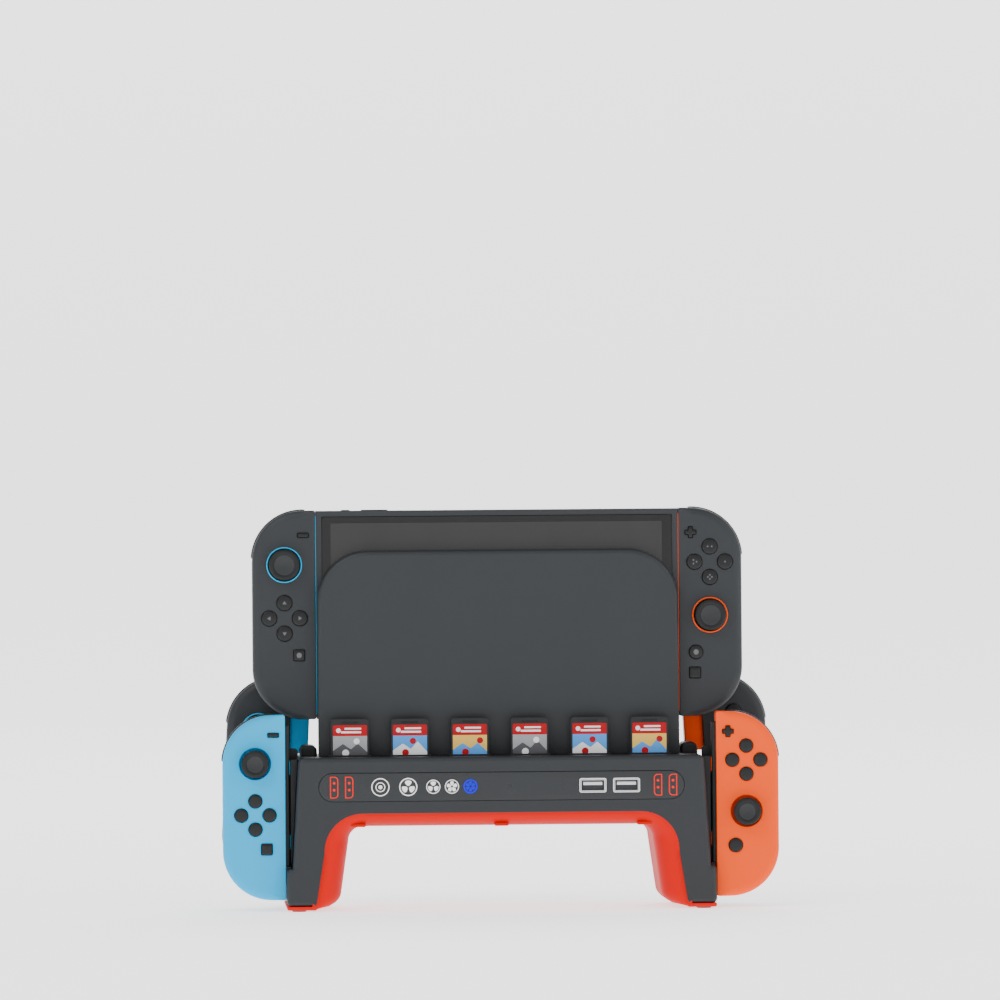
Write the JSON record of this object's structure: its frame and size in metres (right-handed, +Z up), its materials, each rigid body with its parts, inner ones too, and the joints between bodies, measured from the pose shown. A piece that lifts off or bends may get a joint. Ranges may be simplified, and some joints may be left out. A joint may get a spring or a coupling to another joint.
{
  "type": "game console with controller",
  "caption": "Handheld game console in its dock on an arched lit charging stand, with controllers on the console and on the stand's sides and game cards in its front.",
  "frame": {"origin": "on the table, under the middle of the stand, halfway through its depth", "axes": "+X to the right seen from the front, +Y to the back, +Z up; the front faces -Y"},
  "size_m": [0.3078, 0.088, 0.2222],
  "materials": {
    "graphite_plastic": "fine satin moulding texture",
    "soft_black": "satin",
    "light_red": "translucent, lit from inside",
    "pad_rubber": "matte",
    "panel_smoke": "smooth, half gloss",
    "socket_steel": "nickel plated",
    "board_green": "solder mask",
    "cable_grey": "satin jacket",
    "screw_steel": "zinc plated",
    "screen_black": "polished cover glass over the display",
    "battery_grey": "foil wrap",
    "card_black": "fine texture",
    "card_label": "printed label",
    "blue_plastic": "fine satin texture",
    "orange_plastic": "fine satin texture",
    "button_black": "satin",
    "stick_rubber": "soft satin",
    "icon_white": "print",
    "icon_red": "print",
    "icon_blue": "lit symbol",
    "contact_brass": "gold flash"
  },
  "bodies": {
    "stand": {"stand_front_shell": "graphite_plastic", "stand_rear_shell": "graphite_plastic", "light_band": "light_red", "foot_pads": "pad_rubber", "touch_panel": "panel_smoke", "usb_sockets": "socket_steel", "control_board": "board_green", "fan_frames": "soft_black", "card_tray": "soft_black", "charge_rails": "soft_black", "link_cable": "cable_grey", "shell_screws": "screw_steel", "dock_front_plate": "graphite_plastic", "dock_back_shell": "graphite_plastic", "dock_board": "board_green"},
    "fan_left": {"fan_rotor_left": "soft_black"},
    "fan_right": {"fan_rotor_right": "soft_black"},
    "dock_cover": {"dock_rear_cover": "graphite_plastic"},
    "console": {"tablet_shell": "graphite_plastic", "screen_glass": "screen_black", "kickstand": "graphite_plastic", "console_battery": "battery_grey"},
    "card_flap": {"card_flap": "soft_black"},
    "top_buttons": {"top_buttons": "soft_black"},
    "card_1": {"game_card_1": "card_black"},
    "card_2": {"game_card_2": "card_black"},
    "card_3": {"game_card_3": "card_black"},
    "card_4": {"game_card_4": "card_black"},
    "card_5": {"game_card_5": "card_black"},
    "card_6": {"game_card_6": "card_black"},
    "left_side": {"left_side_shell": "graphite_plastic"},
    "left_side_stick": {"left_side_stick": "stick_rubber"},
    "left_side_buttons": {"left_side_buttons": "button_black"},
    "left_side_shoulder": {"left_side_shoulder": "button_black"},
    "left_side_trigger": {"left_side_trigger": "button_black"},
    "right_side": {"right_side_shell": "graphite_plastic"},
    "right_side_stick": {"right_side_stick": "stick_rubber"},
    "right_side_buttons": {"right_side_buttons": "button_black"},
    "right_side_shoulder": {"right_side_shoulder": "button_black"},
    "right_side_trigger": {"right_side_trigger": "button_black"},
    "rear_left": {"rear_left_shell": "graphite_plastic"},
    "rear_left_stick": {"rear_left_stick": "stick_rubber"},
    "rear_left_buttons": {"rear_left_buttons": "button_black"},
    "rear_left_shoulder": {"rear_left_shoulder": "button_black"},
    "rear_left_trigger": {"rear_left_trigger": "button_black"},
    "rear_right": {"rear_right_shell": "graphite_plastic"},
    "rear_right_stick": {"rear_right_stick": "stick_rubber"},
    "rear_right_buttons": {"rear_right_buttons": "button_black"},
    "rear_right_shoulder": {"rear_right_shoulder": "button_black"},
    "rear_right_trigger": {"rear_right_trigger": "button_black"},
    "front_left": {"front_left_shell": "blue_plastic"},
    "front_left_stick": {"front_left_stick": "stick_rubber"},
    "front_left_buttons": {"front_left_buttons": "button_black"},
    "front_left_shoulder": {"front_left_shoulder": "button_black"},
    "front_left_trigger": {"front_left_trigger": "button_black"},
    "front_right": {"front_right_shell": "orange_plastic"},
    "front_right_stick": {"front_right_stick": "stick_rubber"},
    "front_right_buttons": {"front_right_buttons": "button_black"},
    "front_right_shoulder": {"front_right_shoulder": "button_black"},
    "front_right_trigger": {"front_right_trigger": "button_black"}
  },
  "joints": [
    {"name": "console_lift", "type": "slide", "parent": "stand", "child": "console", "axis": [0, 0, 1], "range_m": [0, 0.14]},
    {"name": "dock_cover_pull", "type": "slide", "parent": "stand", "child": "dock_cover", "axis": [0, 1, 0], "range_m": [0, 0.03]},
    {"name": "fan_left_spin", "type": "hinge", "parent": "stand", "child": "fan_left", "pos_m": [-0.046, 0.013, 0.063], "axis": [0, 0, 1], "continuous": true},
    {"name": "fan_right_spin", "type": "hinge", "parent": "stand", "child": "fan_right", "pos_m": [0.046, 0.013, 0.063], "axis": [0, 0, 1], "continuous": true},
    {"name": "card_flap_hinge", "type": "hinge", "parent": "console", "child": "card_flap", "pos_m": [0.07, 0.0065, 0.2158], "axis": [-1, 0, 0], "range_deg": [0, 80]},
    {"name": "top_buttons_press", "type": "slide", "parent": "console", "child": "top_buttons", "axis": [0, 0, -1], "range_m": [0, 0.0004], "stiffness_N_per_m": 800},
    {"name": "card_1_lift", "type": "slide", "parent": "stand", "child": "card_1", "axis": [0, 0, 1], "range_m": [0, 0.03]},
    {"name": "card_2_lift", "type": "slide", "parent": "stand", "child": "card_2", "axis": [0, 0, 1], "range_m": [0, 0.03]},
    {"name": "card_3_lift", "type": "slide", "parent": "stand", "child": "card_3", "axis": [0, 0, 1], "range_m": [0, 0.03]},
    {"name": "card_4_lift", "type": "slide", "parent": "stand", "child": "card_4", "axis": [0, 0, 1], "range_m": [0, 0.03]},
    {"name": "card_5_lift", "type": "slide", "parent": "stand", "child": "card_5", "axis": [0, 0, 1], "range_m": [0, 0.03]},
    {"name": "card_6_lift", "type": "slide", "parent": "stand", "child": "card_6", "axis": [0, 0, 1], "range_m": [0, 0.03]},
    {"name": "left_side_pull", "type": "slide", "parent": "console", "child": "left_side", "axis": [-1, 0, 0], "range_m": [0, 0.06]},
    {"name": "left_side_stick_tilt", "type": "hinge", "parent": "left_side", "child": "left_side_stick", "pos_m": [-0.1184, -0.00225, 0.1913], "axis": [1, 0, 0], "range_deg": [-18, 18], "stiffness_Nm_per_rad": 0.03},
    {"name": "left_side_buttons_press", "type": "slide", "parent": "left_side", "child": "left_side_buttons", "axis": [0, 1, 0], "range_m": [0, 0.0008], "stiffness_N_per_m": 600},
    {"name": "left_side_shoulder_press", "type": "slide", "parent": "left_side", "child": "left_side_shoulder", "axis": [0, 0, -1], "range_m": [0, 0.0009], "stiffness_N_per_m": 700},
    {"name": "left_side_trigger_pull", "type": "hinge", "parent": "left_side", "child": "left_side_trigger", "pos_m": [-0.1184, 0.00875, 0.2185], "axis": [-1, 0, 0], "range_deg": [0, 4.5], "stiffness_Nm_per_rad": 0.4},
    {"name": "right_side_pull", "type": "slide", "parent": "console", "child": "right_side", "axis": [1, 0, 0], "range_m": [0, 0.06]},
    {"name": "right_side_stick_tilt", "type": "hinge", "parent": "right_side", "child": "right_side_stick", "pos_m": [0.1184, -0.00225, 0.1617], "axis": [1, 0, 0], "range_deg": [-18, 18], "stiffness_Nm_per_rad": 0.03},
    {"name": "right_side_buttons_press", "type": "slide", "parent": "right_side", "child": "right_side_buttons", "axis": [0, 1, 0], "range_m": [0, 0.0008], "stiffness_N_per_m": 600},
    {"name": "right_side_shoulder_press", "type": "slide", "parent": "right_side", "child": "right_side_shoulder", "axis": [0, 0, -1], "range_m": [0, 0.0009], "stiffness_N_per_m": 700},
    {"name": "right_side_trigger_pull", "type": "hinge", "parent": "right_side", "child": "right_side_trigger", "pos_m": [0.1184, 0.00875, 0.2185], "axis": [-1, 0, 0], "range_deg": [0, 4.5], "stiffness_Nm_per_rad": 0.4},
    {"name": "rear_left_pull", "type": "slide", "parent": "stand", "child": "rear_left", "axis": [-1, 0, 0], "range_m": [0, 0.06]},
    {"name": "rear_left_stick_tilt", "type": "hinge", "parent": "rear_left", "child": "rear_left_stick", "pos_m": [-0.13284, 0.02, 0.09877], "axis": [0.9987, 0, -0.0506], "range_deg": [-18, 18], "stiffness_Nm_per_rad": 0.03},
    {"name": "rear_left_buttons_press", "type": "slide", "parent": "rear_left", "child": "rear_left_buttons", "axis": [0, 1, 0], "range_m": [0, 0.0008], "stiffness_N_per_m": 600},
    {"name": "rear_left_shoulder_press", "type": "slide", "parent": "rear_left", "child": "rear_left_shoulder", "axis": [-0.0506, 0, -0.9987], "range_m": [0, 0.0009], "stiffness_N_per_m": 700},
    {"name": "rear_left_trigger_pull", "type": "hinge", "parent": "rear_left", "child": "rear_left_trigger", "pos_m": [-0.13146, 0.031, 0.12594], "axis": [-0.9987, 0, 0.0506], "range_deg": [0, 4.5], "stiffness_Nm_per_rad": 0.4},
    {"name": "rear_right_pull", "type": "slide", "parent": "stand", "child": "rear_right", "axis": [1, 0, 0], "range_m": [0, 0.06]},
    {"name": "rear_right_stick_tilt", "type": "hinge", "parent": "rear_right", "child": "rear_right_stick", "pos_m": [0.13433, 0.02, 0.06921], "axis": [0.9987, 0, 0.0506], "range_deg": [-18, 18], "stiffness_Nm_per_rad": 0.03},
    {"name": "rear_right_buttons_press", "type": "slide", "parent": "rear_right", "child": "rear_right_buttons", "axis": [0, 1, 0], "range_m": [0, 0.0008], "stiffness_N_per_m": 600},
    {"name": "rear_right_shoulder_press", "type": "slide", "parent": "rear_right", "child": "rear_right_shoulder", "axis": [0.0506, 0, -0.9987], "range_m": [0, 0.0009], "stiffness_N_per_m": 700},
    {"name": "rear_right_trigger_pull", "type": "hinge", "parent": "rear_right", "child": "rear_right_trigger", "pos_m": [0.13146, 0.031, 0.12594], "axis": [-0.9987, 0, -0.0506], "range_deg": [0, 4.5], "stiffness_Nm_per_rad": 0.4},
    {"name": "front_left_lift", "type": "slide", "parent": "stand", "child": "front_left", "axis": [0, 0, 1], "range_m": [0, 0.11]},
    {"name": "front_left_stick_tilt", "type": "hinge", "parent": "front_left", "child": "front_left_stick", "pos_m": [-0.1359, -0.0317, 0.0818], "axis": [1, 0, 0], "range_deg": [-18, 18], "stiffness_Nm_per_rad": 0.03},
    {"name": "front_left_buttons_press", "type": "slide", "parent": "front_left", "child": "front_left_buttons", "axis": [0, 1, 0], "range_m": [0, 0.0008], "stiffness_N_per_m": 600},
    {"name": "front_left_shoulder_press", "type": "slide", "parent": "front_left", "child": "front_left_shoulder", "axis": [0, 0, -1], "range_m": [0, 0.0009], "stiffness_N_per_m": 700},
    {"name": "front_left_trigger_pull", "type": "hinge", "parent": "front_left", "child": "front_left_trigger", "pos_m": [-0.1359, -0.0207, 0.1057], "axis": [-1, 0, 0], "range_deg": [0, 4.5], "stiffness_Nm_per_rad": 0.4},
    {"name": "front_right_lift", "type": "slide", "parent": "stand", "child": "front_right", "axis": [0, 0, 1], "range_m": [0, 0.11]},
    {"name": "front_right_stick_tilt", "type": "hinge", "parent": "front_right", "child": "front_right_stick", "pos_m": [0.1359, -0.0317, 0.0534], "axis": [1, 0, 0], "range_deg": [-18, 18], "stiffness_Nm_per_rad": 0.03},
    {"name": "front_right_buttons_press", "type": "slide", "parent": "front_right", "child": "front_right_buttons", "axis": [0, 1, 0], "range_m": [0, 0.0008], "stiffness_N_per_m": 600},
    {"name": "front_right_shoulder_press", "type": "slide", "parent": "front_right", "child": "front_right_shoulder", "axis": [0, 0, -1], "range_m": [0, 0.0009], "stiffness_N_per_m": 700},
    {"name": "front_right_trigger_pull", "type": "hinge", "parent": "front_right", "child": "front_right_trigger", "pos_m": [0.1359, -0.0207, 0.1057], "axis": [-1, 0, 0], "range_deg": [0, 4.5], "stiffness_Nm_per_rad": 0.4}
  ]
}
